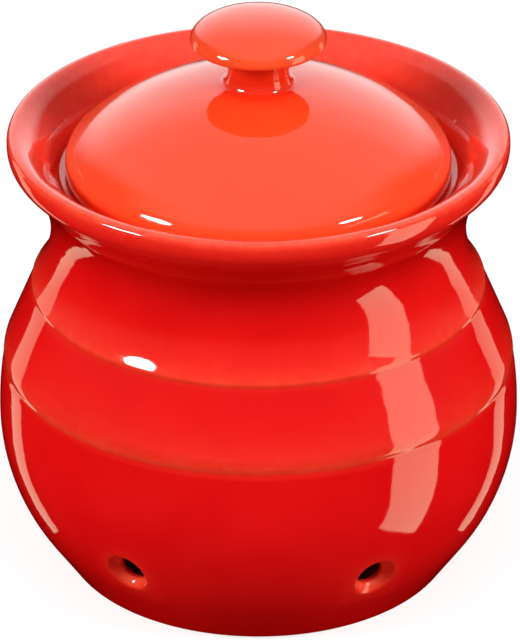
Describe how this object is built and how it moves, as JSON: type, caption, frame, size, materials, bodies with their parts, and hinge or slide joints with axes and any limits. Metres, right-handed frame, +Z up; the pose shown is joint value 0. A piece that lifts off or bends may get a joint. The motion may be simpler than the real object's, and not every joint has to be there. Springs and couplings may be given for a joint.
{
  "type": "garlic keeper",
  "caption": "Round-bellied glazed ceramic garlic keeper with ridges, vent holes low on the belly, a wide flared rim and a domed drop-in lid with a knob.",
  "frame": {"origin": "centre of the foot, on the surface it stands on", "axes": "+Z up along the jar's axis, +X to the viewer's right and -Y towards the viewer; the two front vent holes stand either side of -Y"},
  "size_m": [0.131, 0.131, 0.1485],
  "materials": {
    "jar_glaze": "glossy deep red glaze, lighter on edges",
    "lid_glaze": "glossy red glaze, lighter on edges"
  },
  "bodies": {
    "jar": {"jar": "jar_glaze"},
    "lid": {"lid": "lid_glaze"}
  },
  "joints": [
    {"name": "lid_lift", "type": "slide", "parent": "jar", "child": "lid", "axis": [0, 0, 1], "range_m": [0, 0.06]}
  ]
}
